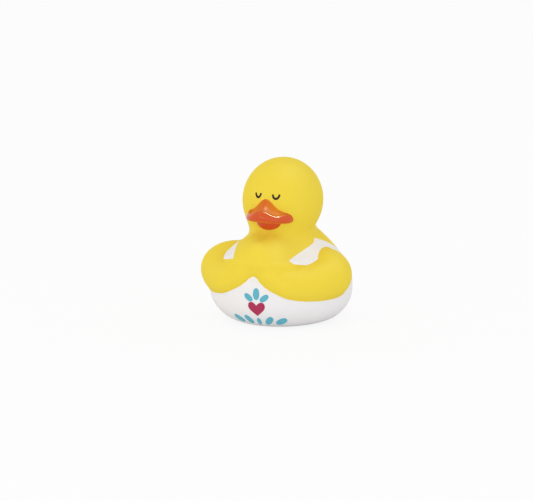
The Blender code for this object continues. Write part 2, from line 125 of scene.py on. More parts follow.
def closed_skin(rings: np.ndarray, first_pole: np.ndarray, last_pole: np.ndarray) -> bpy.types.Mesh:
    """Makes a closed mesh from rings, with a fan of triangles to a pole at each end.

    Args:
        rings: the rings' points, as rows, columns and x, y, z.
        first_pole: the point that closes the first ring.
        last_pole: the point that closes the last ring.

    Returns:
        The mesh, with its faces pointing outwards.
    """
    rows, columns = rings.shape[:2]
    points = np.concatenate([rings.reshape(-1, 3), [first_pole], [last_pole]])
    quads = grid_faces(rows, columns)
    ring = np.arange(columns)
    top = np.stack([np.full(columns, rows * columns), ring, np.roll(ring, -1)], axis=-1)
    ring = ring + (rows - 1) * columns
    base = np.stack([np.full(columns, rows * columns + 1), np.roll(ring, -1), ring], axis=-1)
    halves = np.concatenate([quads[:, [0, 1, 2]], quads[:, [0, 2, 3]], top, base])
    if np.linalg.det(points[halves]).sum() < 0.0:
        quads, top, base = quads[:, ::-1], top[:, ::-1], base[:, ::-1]
    loops = np.concatenate([quads.ravel(), top.ravel(), base.ravel()])
    sizes = np.concatenate([np.full(len(quads), 4), np.full(len(top) + len(base), 3)])
    starts = np.concatenate([[0], np.cumsum(sizes)[:-1]])
    mesh = bpy.data.meshes.new("skin")
    mesh.vertices.add(len(points))
    mesh.vertices.foreach_set("co", points.ravel())
    mesh.loops.add(len(loops))
    mesh.loops.foreach_set("vertex_index", loops)
    mesh.polygons.add(len(sizes))
    mesh.polygons.foreach_set("loop_start", starts)
    mesh.polygons.foreach_set("use_smooth", np.ones(len(sizes), bool))
    mesh.update(calc_edges=True)
    mesh.validate()
    return mesh


def point_values(mesh: bpy.types.Mesh, name: str, values: np.ndarray) -> None:
    """Stores one number a point on the mesh, for a material to read.

    Args:
        mesh: the mesh to mark.
        name: the attribute's name.
        values: a number for each point.
    """
    attribute = mesh.attributes.new(name, "FLOAT", "POINT")
    attribute.data.foreach_set("value", values.astype(np.float32))


def show(name: str, mesh: bpy.types.Mesh, finish: bpy.types.Material) -> bpy.types.Object:
    """Puts a mesh in the scene as a piece of the duck that rides on its body.

    Args:
        name: the piece's name.
        mesh: its shape, in the part's frame.
        finish: its material.

    Returns:
        The piece's object.
    """
    mesh.name = name
    mesh.materials.append(finish)
    piece = bpy.data.objects.new(name, mesh)
    bpy.context.scene.collection.objects.link(piece)
    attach(piece, "root")
    LOG.info("%s: %d points, %d faces", name, len(mesh.vertices), len(mesh.polygons))
    return piece


# The form


@dataclass(frozen=True)
class DuckForm:
    """The duck's form: head, neck, tub, back, tail and wings as distances in space.

    Sizes are millimetres, laid out about the neck; middle_y is where the finished duck is centred.
    A bar's end and a limb's place are x, y, z and radius, and a limb is given on the duck's left.
    """

    middle_y: float = 2.6
    head_centre: Row = (0.0, 2.1, 58.7)
    head_half: Row = (19.6, 21.8, 21.0)
    neck_bottom: Row = (0.0, -1.0, 38.0)
    neck_top: Row = (0.0, 0.0, 52.0)
    neck_radius: float = 15.0
    neck_blend: float = 3.6
    tub_centre: Row = (0.0, -0.3, 16.9)
    tub_half: Row = (35.7, 34.3, 20.2)
    tub_squareness: float = 2.5
    back_centre: Row = (0.0, 5.3, 17.6)
    back_half: Row = (26.3, 33.6, 30.7)
    back_blend: float = 8.0
    tail_root: Row = (0.0, 22.0, 25.0, 13.0)
    tail_tip: Row = (0.0, 36.5, 37.0, 4.0)
    tail_blend: float = 8.0
    base_edge: float = 3.0
    arm_path: tuple[Row, ...] = (
        (20.5, 3.1, 28.2, 8.0),
        (26.4, -2.8, 26.0, 10.4),
        (28.8, -8.2, 23.8, 10.4),
        (22.7, -17.9, 21.6, 9.3),
        (14.9, -25.5, 22.4, 7.7),
        (6.5, -27.9, 28.2, 7.1),
        (4.0, -21.5, 36.4, 5.2),
    )
    wrist: int = 4
    web_path: tuple[Row, ...] = ((0.0, -31.0, 29.2, 2.4), (0.0, -27.0, 37.0, 5.0))
    limb_steps: int = 6
    web_blend: float = 2.5
    hand_low: float = 27.0
    hand_top: float = 34.0
    hand_low_blend: float = 1.3
    hand_top_blend: float = 14.0
    crease_blend: float = 1.3
    neckline: tuple[Row, ...] = (
        (-32.0, 34.4, 34.4),
        (-28.0, 34.4, 35.7),
        (-26.0, 34.4, 35.8),
        (-18.0, 36.05, 35.75),
        (-10.0, 37.7, 36.3),
        (-1.7, 39.4, 36.7),
        (0.6, 41.0, 36.5),
        (4.2, 39.8, 36.3),
        (10.7, 37.0, 35.7),
        (14.0, 34.9, 34.5),
        (17.0, 33.3, 33.3),
        (20.0, 32.3, 32.3),
        (24.0, 31.6, 31.6),
        (32.0, 31.2, 31.2),
    )
    neckline_rounding: float = 1.2
    rounding_places: int = 7
    strap_outer_x: float = -21.8
    strap_end_x: float = -11.0
    strap_end_z: float = 34.5
    strap_end_slope: float = 0.288
    strap_end_y: float = -19.5

    @staticmethod
    def blend(a: np.ndarray, b: np.ndarray, width: object) -> np.ndarray:
        """Joins two fields with a fillet.

        The smaller distance is taken, less a quarter of the width times the square of how far the
        two distances lie within that width of each other.

        Args:
            a: the first field's distances.
            b: the second field's distances.
            width: the fillet's width, in millimetres.

        Returns:
            The joined distances.
        """
        overlap = np.maximum(width - np.abs(a - b), 0.0) / width
        return np.minimum(a, b) - overlap * overlap * width / 4.0

    @staticmethod
    def ellipsoid(p: np.ndarray, centre: Row, half: Row) -> np.ndarray:
        """Gives nearly the distance to an ellipsoid: its level less one, over the level's slope."""
        scaled = (p - np.array(centre)) / np.array(half)
        reach = np.linalg.norm(scaled, axis=-1)
        slope = np.linalg.norm(scaled / np.array(half), axis=-1)
        return reach * (reach - 1.0) / np.maximum(slope, 1e-9)

    @staticmethod
    def bar(p: np.ndarray, start: np.ndarray, end: np.ndarray) -> np.ndarray:
        """Gives the distance to a bar with round ends: that to its axis, less the radius there."""
        along = end[:3] - start[:3]
        t = np.clip(((p - start[:3]) @ along) / (along @ along), 0.0, 1.0)
        away = np.linalg.norm(p - (start[:3] + t[..., None] * along), axis=-1)
        return away - (start[3] + (end[3] - start[3]) * t)

    def tub(self, p: np.ndarray) -> np.ndarray:
        """Gives nearly the distance to the tub, an ellipsoid squared off in its upright section."""
        scaled = np.abs((p - np.array(self.tub_centre)) / np.array(self.tub_half))
        power = self.tub_squareness
        level = np.hypot(scaled[..., 0], scaled[..., 1])
        reach = (level**power + scaled[..., 2] ** power) ** (1.0 / power)
        away = np.linalg.norm(p - np.array(self.tub_centre), axis=-1)
        return away * (1.0 - 1.0 / np.maximum(reach, 1e-6))

    def trunk(self, p: np.ndarray) -> np.ndarray:
        """Gives the distance to head, neck, body and tail, without the wings."""
        head = self.ellipsoid(p, self.head_centre, self.head_half)
        neck_ends = [np.array((*end, self.neck_radius)) for end in (self.neck_bottom, self.neck_top)]
        neck = self.bar(p, *neck_ends)
        back = self.ellipsoid(p, self.back_centre, self.back_half)
        tail = self.bar(p, np.array(self.tail_root), np.array(self.tail_tip))
        body = self.blend(self.blend(self.tub(p), back, self.back_blend), tail, self.tail_blend)
        return self.blend(self.blend(head, neck, self.neck_blend), body, self.neck_blend)

    def limb(self, p: np.ndarray, places: np.ndarray) -> np.ndarray:
        """Gives the distance to a run of tapered bars, the same on both sides.

        Args:
            p: the points.
            places: the run on the left side, as x, y, z and radius.

        Returns:
            The distances.
        """
        side = np.stack([np.abs(p[..., 0]), p[..., 1], p[..., 2]], axis=-1)
        found = np.full(side.shape[:-1], 1000.0)
        for start, end in zip(places, places[1:]):
            found = np.minimum(found, self.bar(side, start, end))
        return found

    def arm(self) -> np.ndarray:
        """Gives the arm from shoulder to fingertips, as a smooth run of places."""
        return smooth_through(np.array(self.arm_path), self.limb_steps, closed=False)

    def wings(self, p: np.ndarray) -> np.ndarray:
        """Gives the distance to the wings, from shoulder to wrist."""
        return self.limb(p, self.arm()[: self.wrist * self.limb_steps + 1])

    def hands(self, p: np.ndarray) -> np.ndarray:
        """Gives the distance to both hands, with the shallow web between them."""
        fingers = self.limb(p, self.arm()[self.wrist * self.limb_steps :])
        return self.blend(fingers, self.limb(p, np.array(self.web_path)), self.web_blend)

    def softness(self, p: np.ndarray) -> np.ndarray:
        """Gives how softly the hands run into the breast, from 0 below to 1 at the fingertips."""
        rise = np.clip((p[..., 2] - self.hand_low) / (self.hand_top - self.hand_low), 0.0, 1.0)
        return rise * rise * (3.0 - 2.0 * rise)

    def skin(self, p: np.ndarray) -> np.ndarray:
        """Gives the distance to the whole moulding, with its base cut flat.

        The fillet round the hands is tight along the lower crease and wide at the fingertips.

        Args:
            p: the points, in millimetres.

        Returns:
            The distances, below zero inside.
        """
        width = self.hand_low_blend + (self.hand_top_blend - self.hand_low_blend) * self.softness(p)
        breast = self.blend(self.trunk(p), self.hands(p), width)
        whole = self.blend(breast, self.wings(p), self.crease_blend)
        return -self.blend(-whole, p[..., 2], self.base_edge)

    def shade(self, p: np.ndarray, reach: float) -> np.ndarray:
        """Gives how close a point lies to a crease of the wings, from 0 to 1.

        It sets the shade painted on the vinyl there. It falls off as a bell curve of how much
        nearer the trunk is than the wing, and the hands' own crease fades out where they run
        softly into the breast.

        Args:
            p: the points.
            reach: the bell's half-width, in millimetres.

        Returns:
            The shade.
        """
        wings, hands = self.wings(p), self.hands(p)
        bell = np.exp(-(((np.minimum(wings, hands) - self.trunk(p)) / reach) ** 2))
        return bell * (1.0 - self.softness(p) * np.clip((wings - hands) / reach, 0.0, 1.0))

    def top(self, p: np.ndarray) -> np.ndarray:
        """Gives the painted top's level: above zero below the neckline and clear of the wings.

        The neckline is a table of y, its height on the left and its height on the right. Its
        corners are rounded off by averaging it over a short way. The strap on the duck's right is
        narrower and runs a little on to the hand, where a sloping line cuts it off.

        Args:
            p: the points.

        Returns:
            The level, in millimetres or nearly so.
        """
        x, y, z = p[..., 0], p[..., 1], p[..., 2]
        along, left, right = np.array(self.neckline).T
        shifts = np.linspace(-self.neckline_rounding, self.neckline_rounding, self.rounding_places)
        left = np.mean([np.interp(y + shift, along, left) for shift in shifts], axis=0)
        right = np.mean([np.interp(y + shift, along, right) for shift in shifts], axis=0)
        neckline = np.where(x > 0.0, left, right)
        free = np.minimum(self.wings(p), self.hands(p)) - self.trunk(p)
        end = z - (self.strap_end_z + self.strap_end_slope * (x - self.strap_end_x))
        on_hand = np.minimum(np.minimum(end, self.strap_end_y - y), x - self.strap_outer_x)
        free = np.where(x < 0.0, np.maximum(free, on_hand), free)
        return np.minimum(free, neckline - z)

    def head_front(self, x: np.ndarray, z: np.ndarray) -> np.ndarray:
        """Gives the y of the head's front at a place, from the ellipsoid's equation."""
        across = (x / self.head_half[0]) ** 2 + ((z - self.head_centre[2]) / self.head_half[2]) ** 2
        return self.head_centre[1] - self.head_half[1] * np.sqrt(np.clip(1.0 - across, 0.0, 1.0))

    def cast(
        self, origin: np.ndarray, ray: np.ndarray, proud: float, reach: float = 70.0
    ) -> np.ndarray:
        """Follows rays from inside the duck out to a surface at an even distance from its skin.

        Each ray is halved again and again between a place inside and a place outside.

        Args:
            origin: where each ray starts.
            ray: its direction, of length one.
            proud: how far outside the skin the surface lies, below zero for inside.
            reach: how far the rays go.

        Returns:
            The points reached.
        """
        near = np.zeros(origin.shape[:-1])
        far = np.full(origin.shape[:-1], reach)
        for _ in range(HALVINGS):
            middle = (near + far) / 2.0
            inside = self.skin(origin + middle[..., None] * ray) < proud
            near = np.where(inside, middle, near)
            far = np.where(inside, far, middle)
        return origin + near[..., None] * ray

    def normal(self, p: np.ndarray, step: float = 0.05) -> np.ndarray:
        """Gives the skin's outward direction: the distance's change along each axis, scaled to one."""
        shifts = np.eye(3) * step
        slope = np.stack([self.skin(p + s) - self.skin(p - s) for s in shifts], axis=-1)
        return slope / np.maximum(np.linalg.norm(slope, axis=-1, keepdims=True), 1e-9)

    def to_frame(self, p: np.ndarray) -> np.ndarray:
        """Moves points from the form's millimetres to the part's frame, in metres."""
        return (p - np.array([0.0, self.middle_y, 0.0])) * MM


# Finishes


class Nodes:
    """A small helper that adds shader nodes and wires them."""

    def __init__(self, name: str) -> None:
        """Starts a material with only a shader and its output.

        Args:
            name: the material's name.
        """
        self.material = bpy.data.materials.new(name)
        self.material.use_nodes = True
        self.tree = self.material.node_tree
        self.shader = self.tree.nodes["Principled BSDF"]

    def add(self, kind: str, **inputs: object) -> bpy.types.Node:
        """Adds a node and sets or links its inputs.

        Args:
            kind: the node's type, without the ShaderNode prefix.
            **inputs: an input's name, with _ for a space, and its value or the socket it takes.

        Returns:
            The node.
        """
        node = self.tree.nodes.new("ShaderNode" + kind)
        for name, value in inputs.items():
            self.put(node.inputs[name.replace("_", " ")], value)
        return node

    def put(self, socket: bpy.types.NodeSocket, value: object) -> None:
        """Links a socket to another, or gives it a value."""
        if isinstance(value, bpy.types.NodeSocket):
            self.tree.links.new(value, socket)
        else:
            socket.default_value = value

    def maths(
        self, operation: str, a: object, b: object = 0.0, clamp: bool = False
    ) -> bpy.types.NodeSocket:
        """Works out one sum of two numbers.

        Args:
            operation: the sum's name, such as ADD.
            a: the first number or socket.
            b: the second number or socket.
            clamp: whether the result is kept from zero to one.

        Returns:
            The result's socket.
        """
        node = self.tree.nodes.new("ShaderNodeMath")
        node.operation = operation
        node.use_clamp = clamp
        self.put(node.inputs[0], a)
        self.put(node.inputs[1], b)
        return node.outputs[0]

    def mix(self, share: object, a: object, b: object) -> bpy.types.NodeSocket:
        """Mixes two colours.

        Args:
            share: the second colour's share.
            a: the first colour or socket.
            b: the second colour or socket.

        Returns:
            The mixed colour's socket.
        """
        node = self.tree.nodes.new("ShaderNodeMix")
        node.data_type = "RGBA"
        self.put(node.inputs["Factor"], share)
        self.put(node.inputs[6], a)
        self.put(node.inputs[7], b)
        return node.outputs[2]

    def noise(self, scale: float, detail: float = 2.0) -> bpy.types.NodeSocket:
        """Gives a soft random pattern on the piece, from 0 to 1.

        Args:
            scale: lumps to the metre.
            detail: how many finer layers it has.

        Returns:
            The pattern's socket.
        """
        place = self.tree.nodes.new("ShaderNodeTexCoord").outputs["Object"]
        return self.add("TexNoise", Vector=place, Scale=scale, Detail=detail).outputs["Fac"]

    def value_of(self, name: str) -> bpy.types.NodeSocket:
        """Reads a number that the mesh carries at each point."""
        node = self.tree.nodes.new("ShaderNodeAttribute")
        node.attribute_name = name
        return node.outputs["Fac"]

    def scaled(self, value: object, factor: float, clamp: bool = False) -> bpy.types.NodeSocket:
        """Gives a number times a factor."""
        return self.maths("MULTIPLY", value, factor, clamp)

    def set_input(self, name: str, value: object) -> None:
        """Links one of the shader's inputs to a socket, or gives it a value."""
        self.put(self.shader.inputs[name], value)

    def bump(
        self, height: object, strength: float, distance: float, under: Optional[object] = None
    ) -> bpy.types.NodeSocket:
        """Raises the surface in the shading only.

        Args:
            height: the pattern that is raised.
            strength: how strongly it shades.
            distance: how high it stands, in metres.
            under: another bump that it lies on.

        Returns:
            The direction's socket.
        """
        node = self.add("Bump", Height=height, Strength=strength, Distance=distance)
        if under is not None:
            self.put(node.inputs["Normal"], under)
        return node.outputs["Normal"]


@dataclass(frozen=True)
class VinylFinish:
    """Matt moulded vinyl with the tank top painted on it.

    The paint's edge goes from bare to painted within one millimetre over edge_sharpness, and
    strays by up to half of edge_wander, in millimetres. The bumps' heights are metres.
    """

    yellow: Row = (0.840, 0.640, 0.056, 1.0)
    shaded_yellow: Row = (0.800, 0.560, 0.032, 1.0)
    pale_yellow: Row = (0.870, 0.680, 0.066, 1.0)
    white: Row = (0.872, 0.838, 0.800, 1.0)
    cool_white: Row = (0.830, 0.822, 0.850, 1.0)
    edge_scale: float = 900.0
    edge_wander: float = 0.16
    edge_sharpness: float = 9.0
    cloud_scale: float = 38.0
    pale_share: float = 0.5
    crease_share: float = 0.55
    roughness: float = 0.50
    patch_scale: float = 140.0
    uneven_roughness: float = 0.12
    smoother_paint: float = 0.05
    film_strength: float = 0.35
    film_height: float = 0.00006
    grain_scale: float = 5200.0
    grain_strength: float = 0.18
    grain_height: float = 0.00003
    specular: float = 0.03

    def make(self) -> bpy.types.Material:
        """Builds the material.

        The paint lies where the mesh's level is above zero, and its edge wanders a little by a
        soft noise. The vinyl's colour is darkened along the crease of the wings, a painted shade,
        and both have a fine grain.

        Returns:
            The material.
        """
        n = Nodes("painted_vinyl")
        wander = n.scaled(n.maths("SUBTRACT", n.noise(self.edge_scale), 0.5), self.edge_wander)
        level = n.maths("ADD", n.value_of("top_level"), wander)
        painted = n.maths("ADD", n.scaled(level, self.edge_sharpness), 0.5, clamp=True)
        clouds = n.noise(self.cloud_scale, 3.0)
        # painted shade: the vinyl's yellow darkens to shaded_yellow along the wings' crease
        painted_crease_shade = n.value_of("crease_shade")
        vinyl = n.mix(n.scaled(clouds, self.pale_share), self.yellow, self.pale_yellow)
        vinyl = n.mix(n.scaled(painted_crease_shade, self.crease_share), vinyl, self.shaded_yellow)
        paint = n.mix(clouds, self.white, self.cool_white)
        n.set_input("Base Color", n.mix(painted, vinyl, paint))
        grain = n.noise(self.grain_scale, 3.0)
        patches = n.scaled(n.noise(self.patch_scale, 3.0), self.uneven_roughness)
        rough = n.maths("ADD", patches, self.roughness)
        n.set_input("Roughness", n.maths("SUBTRACT", rough, n.scaled(painted, self.smoother_paint)))
        film = n.bump(painted, self.film_strength, self.film_height)
        n.set_input("Normal", n.bump(grain, self.grain_strength, self.grain_height, under=film))
        n.set_input("Specular IOR Level", self.specular)
        return n.material


@dataclass(frozen=True)
class LacquerFinish:
    """Glossy orange paint on the bill, which dulls where it is thin."""

    orange: Row = (0.640, 0.096, 0.014, 1.0)
    amber: Row = (0.740, 0.262, 0.012, 1.0)
    scarlet: Row = (0.670, 0.076, 0.022, 1.0)
    bare: Row = (0.840, 0.600, 0.050, 1.0)
    cloud_scale: float = 160.0
    cloudiness: float = 0.3
    dulling: float = 2.2
    roughness: float = 0.12
    patch_scale: float = 700.0
    uneven_roughness: float = 0.06
    dull_roughness: float = 0.26
    specular: float = 0.20
    dull_specular: float = 0.165
    ripple_scale: float = 420.0
    ripple_strength: float = 0.10
    ripple_height: float = 0.00008

    def make(self) -> bpy.types.Material:
        """Builds the material.

        By a level that the mesh carries, the paint turns scarlet at -1 on the lip, and ends at 2 on
        bare vinyl underneath. Between 0 and 1 it is painted lighter amber: on the upward top face
        behind the lip this is a painted reflection, and there is also a narrow amber band where
        the lip turns under. The dulling grows with that level and reaches its full share at one
        over the dulling factor.

        Returns:
            The material.
        """
        n = Nodes("bill_paint")
        depth = n.value_of("paint_and_reflection")
        # thin is the share of amber: on the upward top face a painted reflection, and a narrow band
        # where the lip turns under
        thin = n.scaled(depth, 1.0, clamp=True)
        dull = n.scaled(depth, self.dulling, clamp=True)
        scarlet_share = n.scaled(depth, -1.0, clamp=True)
        clouds = n.scaled(n.noise(self.cloud_scale, 3.0), self.cloudiness)
        orange = n.mix(clouds, self.orange, self.scarlet)
        # painted reflection: amber lightens the upward top face behind the lip
        colour = n.mix(thin, orange, self.amber)
        colour = n.mix(n.maths("SUBTRACT", depth, 1.0, clamp=True), colour, self.bare)
        n.set_input("Base Color", n.mix(scarlet_share, colour, self.scarlet))
        patches = n.scaled(n.noise(self.patch_scale, 3.0), self.uneven_roughness)
        rough = n.maths("ADD", patches, self.roughness)
        n.set_input("Roughness", n.maths("ADD", rough, n.scaled(dull, self.dull_roughness)))
        ripple = n.noise(self.ripple_scale, 2.0)
        n.set_input("Normal", n.bump(ripple, self.ripple_strength, self.ripple_height))
        gloss = n.maths("SUBTRACT", self.specular, n.scaled(dull, self.dull_specular))
        n.set_input("Specular IOR Level", gloss)
        return n.material


@dataclass(frozen=True)
class InkFinish:
    """Pad-printed ink: one even colour with faint mottling and a low sheen."""

    name: str
    colour: Row
    thin_colour: Row
    roughness: float = 0.42
    specular: float = 0.2
    speckle_scale: float = 1600.0
    mottling: float = 0.45
    grain_scale: float = 3600.0
    grain_strength: float = 0.15
    grain_height: float = 0.00003

    def make(self) -> bpy.types.Material:
        """Builds the material.

        Returns:
            The material.
        """
        n = Nodes(self.name)
        speckle = n.scaled(n.noise(self.speckle_scale, 3.0), self.mottling)
        n.set_input("Base Color", n.mix(speckle, self.colour, self.thin_colour))
        grain = n.noise(self.grain_scale, 2.0)
        n.set_input("Normal", n.bump(grain, self.grain_strength, self.grain_height))
        n.set_input("Roughness", self.roughness)
        n.set_input("Specular IOR Level", self.specular)
        return n.material


EYE_INK = InkFinish("eye_ink", (0.014, 0.007, 0.006, 1.0), (0.032, 0.017, 0.014, 1.0), 0.6)
LEAF_INK = InkFinish("leaf_ink", (0.102, 0.430, 0.545, 1.0), (0.150, 0.490, 0.590, 1.0))
HEART_INK = InkFinish("heart_ink", (0.400, 0.024, 0.082, 1.0), (0.450, 0.044, 0.115, 1.0))


@dataclass(frozen=True)
class PlugFinish:
    """Milky moulded plastic of the squeaker."""

    colour: Row = (0.80, 0.80, 0.76, 1.0)
    worn_colour: Row = (0.70, 0.69, 0.64, 1.0)
    cloud_scale: float = 260.0
    roughness: float = 0.32
    grain_scale: float = 1500.0
    grain_strength: float = 0.12
    grain_height: float = 0.00004
    milkiness: float = 0.1
    milky_reach: Row = (0.002, 0.002, 0.002)

    def make(self) -> bpy.types.Material:
        """Builds the material.

        Returns:
            The material.
        """
        n = Nodes("milky_plastic")
        clouds, grain = n.noise(self.cloud_scale, 3.0), n.noise(self.grain_scale, 2.0)
        n.set_input("Base Color", n.mix(clouds, self.colour, self.worn_colour))
        n.set_input("Normal", n.bump(grain, self.grain_strength, self.grain_height))
        n.set_input("Roughness", self.roughness)
        n.set_input("Subsurface Weight", self.milkiness)
        n.set_input("Subsurface Radius", self.milky_reach)
        return n.material


# The pieces


@dataclass(frozen=True)
class Shell:
    """The vinyl shell: its outer skin, its cavity and the seat of the squeaker, as one wall."""

    form: DuckForm
    columns: int = 288
    base_rows: int = 12
    outer_rows: int = 252
    inner_rows: int = 44
    wall: float = 2.2
    seat_radius: float = 6.3
    seat_depth: float = 0.95
    seat_edge: float = 0.08
    hole_radius: float = 4.3
    hole_edge: float = 0.3
    sharp_angle: float = 50.0
    level_limit: float = 3.0
    crease_reach: float = 0.9
    ray_steps: Row = (0.0, 0.07, 0.54, 0.56, 0.58, 0.595, 0.61, 0.70, 1.0)
    ray_origins: Row = (16.0, 16.0, 16.0, 26.7, 34.9, 40.5, 45.2, 58.8, 58.8)
    ray_angles: Row = (-90.0, -40.0, 53.0, 40.0, 25.0, 12.0, 0.0, 0.0, 90.0)

    def rings(self, steps: np.ndarray, proud: float) -> np.ndarray:
        """Casts rings of points on the skin, or inside it.

        A ring's rays leave the duck's axis at one height and one slope, both read from a table.

        Args:
            steps: each ring's place in the table, from the base at 0 to the crown at 1.
            proud: how far outside the skin the rings lie.

        Returns:
            The rings, as rows, columns and x, y, z.
        """
        turn = np.arange(self.columns) * 2.0 * math.pi / self.columns
        angle = np.radians(np.interp(steps, self.ray_steps, self.ray_angles))[:, None]
        height = np.interp(steps, self.ray_steps, self.ray_origins)[:, None]
        flat = np.cos(angle)
        ray = np.stack(
            [flat * np.sin(turn), -flat * np.cos(turn), np.sin(angle) * np.ones_like(turn)], axis=-1
        )
        origin = np.zeros_like(ray)
        origin[..., 2] = height
        return self.form.cast(origin, ray, proud)

    def circle(self, radius: float, height: float) -> np.ndarray:
        """Gives a level ring about the squeaker's axis."""
        turn = np.arange(self.columns) * 2.0 * math.pi / self.columns
        ring = [radius * np.sin(turn), -radius * np.cos(turn), np.full(self.columns, height)]
        return np.stack(ring, axis=-1)[None]

    def step_at(self, radius: float, height: float) -> float:
        """Gives the table's place whose ray passes a circle on the base."""
        slope = -math.degrees(math.atan2(self.ray_origins[0] - height, radius))
        return float(np.interp(slope, self.ray_angles[:3], self.ray_steps[:3]))

    def build(self, finish: bpy.types.Material) -> bpy.types.Object:
        """Builds the shell and marks the painted top and the creases on it.

        Args:
            finish: its material.

        Returns:
            The piece.
        """
        edge, hole = self.step_at(self.seat_radius, 0.0), self.step_at(self.hole_radius, self.wall)
        base = np.linspace(edge, self.ray_steps[1], self.base_rows, endpoint=False)
        rise = np.linspace(self.ray_steps[1], 1.0, self.outer_rows, endpoint=False)
        outer = self.rings(np.concatenate([base, rise])[::-1], 0.0)
        outer[-1] = self.circle(self.seat_radius, 0.0)[0]
        inner = self.rings(np.linspace(hole, 1.0, self.inner_rows, endpoint=False), -self.wall)
        inner[0] = self.circle(self.hole_radius, self.wall)[0]
        seat = [
            self.circle(self.seat_radius, self.seat_edge),
            self.circle(self.seat_radius, self.seat_depth),
            self.circle(self.hole_radius, self.seat_depth),
            self.circle(self.hole_radius, self.seat_depth + self.hole_edge),
        ]
        rings = np.concatenate([outer, *seat, inner])
        up = np.array([0.0, 0.0, 1.0])
        crown = self.form.cast((self.ray_origins[-1] * up)[None], up[None], 0.0)[0]
        under = crown - self.wall * up
        to_frame = self.form.to_frame
        mesh = closed_skin(to_frame(rings), to_frame(crown), to_frame(under))
        points = np.concatenate([rings.reshape(-1, 3), [crown], [under]])
        level = np.clip(self.form.top(points), -self.level_limit, self.level_limit)
        point_values(mesh, "top_level", level)
        # painted shade along the wings' crease, which the vinyl's material reads
        point_values(mesh, "crease_shade", self.form.shade(points, self.crease_reach))
        mesh.set_sharp_from_angle(angle=math.radians(self.sharp_angle))
        piece = show("duck_shell", mesh, finish)
        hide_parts("duck_body")
        return piece


